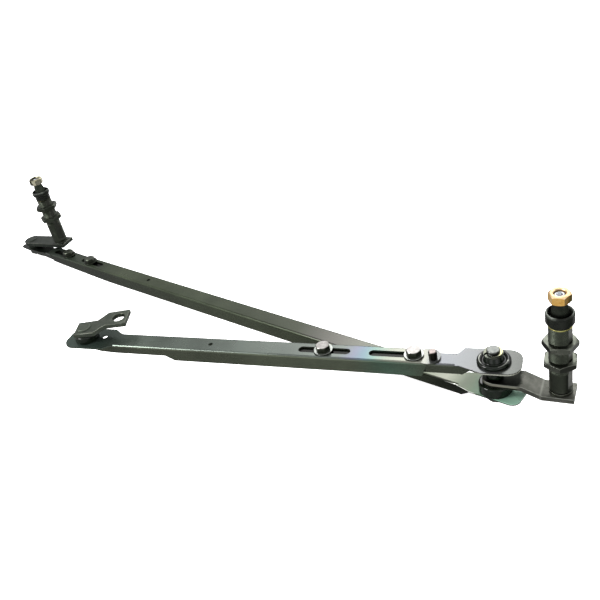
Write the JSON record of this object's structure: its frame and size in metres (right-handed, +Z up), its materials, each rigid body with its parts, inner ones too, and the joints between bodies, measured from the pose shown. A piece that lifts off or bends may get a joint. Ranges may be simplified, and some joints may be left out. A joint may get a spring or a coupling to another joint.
{
  "type": "vehicle wiper linkage",
  "caption": "Windscreen wiper linkage of pressed channel rods: a motor crank drives a slotted rod, a tie rod and levers on threaded pivots with tapered wiper shafts.",
  "frame": {"origin": "on the right wiper shaft axis, midway between the two panel nuts of the right pivot, where the vehicle panel is clamped", "axes": "+X from the left pivot to the right pivot along the linkage, +Z up along the wiper shafts to the wiper arms, +Y away from the motor crank"},
  "size_m": [0.8663, 0.2025, 0.1282],
  "materials": {
    "black_phosphated_steel": "satin black phosphate with worn edges",
    "sintered_bronze": "oil soaked sintered bronze",
    "worn_steel": "scuffed bare steel",
    "bright_steel": "turned bright steel",
    "spring_steel": "oiled spring steel",
    "yellow_zinc_steel": "yellow passivated zinc",
    "black_rubber": "matte moulded rubber",
    "black_bush_plastic": "greased black moulding",
    "brass": "satin brass",
    "zinc_plated_sheet": "zinc plated pressed sheet, grey green to blue grey",
    "zinc_plated_fastener": "zinc plated"
  },
  "bodies": {
    "right_pivot": {"right_pivot_barrel": "black_phosphated_steel", "right_lower_panel_nut": "black_phosphated_steel", "right_upper_panel_nut": "black_phosphated_steel", "right_lower_bearing_bush": "sintered_bronze", "right_upper_bearing_bush": "sintered_bronze"},
    "right_crank": {"right_lever": "worn_steel", "right_wiper_shaft": "bright_steel", "right_thrust_washer": "black_phosphated_steel", "right_top_washer": "yellow_zinc_steel", "right_dust_cap": "black_rubber", "right_arm_nut": "brass", "right_joint_pin": "bright_steel", "right_joint_upper_clip": "yellow_zinc_steel", "right_joint_upper_washer": "black_phosphated_steel", "right_joint_lower_clip": "spring_steel", "right_joint_lower_washer": "zinc_plated_fastener"},
    "tie_rod": {"tie_rod_channel": "zinc_plated_sheet", "tie_rod_right_bush": "black_bush_plastic"},
    "tie_rod_end": {"tie_rod_end_channel": "zinc_plated_sheet", "tie_rod_left_bush": "black_bush_plastic", "tie_rod_bolts": "zinc_plated_fastener", "tie_rod_washers": "zinc_plated_fastener", "tie_rod_nuts": "zinc_plated_fastener"},
    "left_crank": {"left_lever": "black_phosphated_steel", "left_wiper_shaft": "bright_steel", "left_thrust_washer": "black_phosphated_steel", "left_top_washer": "yellow_zinc_steel", "left_dust_cap": "black_rubber", "left_arm_nut": "brass", "left_joint_pin": "bright_steel", "left_joint_clip": "spring_steel", "left_joint_washer": "zinc_plated_fastener"},
    "left_pivot": {"left_pivot_barrel": "black_phosphated_steel", "left_lower_panel_nut": "black_phosphated_steel", "left_upper_panel_nut": "black_phosphated_steel", "left_lower_bearing_bush": "sintered_bronze", "left_upper_bearing_bush": "sintered_bronze"},
    "drive_rod_end": {"drive_rod_end_channel": "zinc_plated_sheet", "drive_rod_right_bush": "black_bush_plastic", "drive_rod_bolts": "zinc_plated_fastener", "drive_rod_washers": "zinc_plated_fastener", "drive_rod_nuts": "zinc_plated_fastener"},
    "drive_rod": {"drive_rod_channel": "zinc_plated_sheet", "adjuster_stud": "zinc_plated_fastener", "drive_rod_crank_bush": "black_bush_plastic"},
    "motor_crank": {"motor_crank": "black_phosphated_steel", "crank_pin": "bright_steel", "crank_pin_clip": "spring_steel", "crank_pin_washer": "zinc_plated_fastener"}
  },
  "joints": [
    {"name": "right_shaft_swing", "type": "hinge", "parent": "right_pivot", "child": "right_crank", "pos_m": [0, 0, 0], "axis": [0, 0, 1], "range_deg": [-10, 100]},
    {"name": "tie_rod_pivot", "type": "hinge", "parent": "right_crank", "child": "tie_rod", "pos_m": [-0.05541, -0.01537, -0.04545], "axis": [0, 0, 1], "range_deg": [-100, 10]},
    {"name": "tie_rod_adjust", "type": "slide", "parent": "tie_rod", "child": "tie_rod_end", "axis": [1, 0, 0], "range_m": [-0.006, 0.006]},
    {"name": "left_lever_pivot", "type": "hinge", "parent": "tie_rod_end", "child": "left_crank", "pos_m": [-0.82841, -0.01537, -0.04965], "axis": [0, 0, 1], "range_deg": [-10, 100]},
    {"name": "left_shaft_swing", "type": "hinge", "parent": "left_crank", "child": "left_pivot", "pos_m": [-0.773, 0, 0], "axis": [0, 0, 1], "range_deg": [-100, 10]},
    {"name": "drive_rod_pivot", "type": "hinge", "parent": "right_crank", "child": "drive_rod_end", "pos_m": [-0.05541, -0.01537, -0.02005], "axis": [0, 0, 1], "range_deg": [-100, 40]},
    {"name": "drive_rod_adjust", "type": "slide", "parent": "drive_rod_end", "child": "drive_rod", "axis": [-0.9409, -0.3387, 0], "range_m": [-0.01, 0]},
    {"name": "crank_pivot", "type": "hinge", "parent": "drive_rod", "child": "motor_crank", "pos_m": [-0.47316, -0.16577, -0.01025], "axis": [0, 0, 1], "continuous": true}
  ],
  "couplings": [
    {"joint": "tie_rod_pivot", "follows": "right_shaft_swing", "ratio": -1},
    {"joint": "left_lever_pivot", "follows": "right_shaft_swing", "ratio": 1},
    {"joint": "left_shaft_swing", "follows": "right_shaft_swing", "ratio": -1}
  ]
}
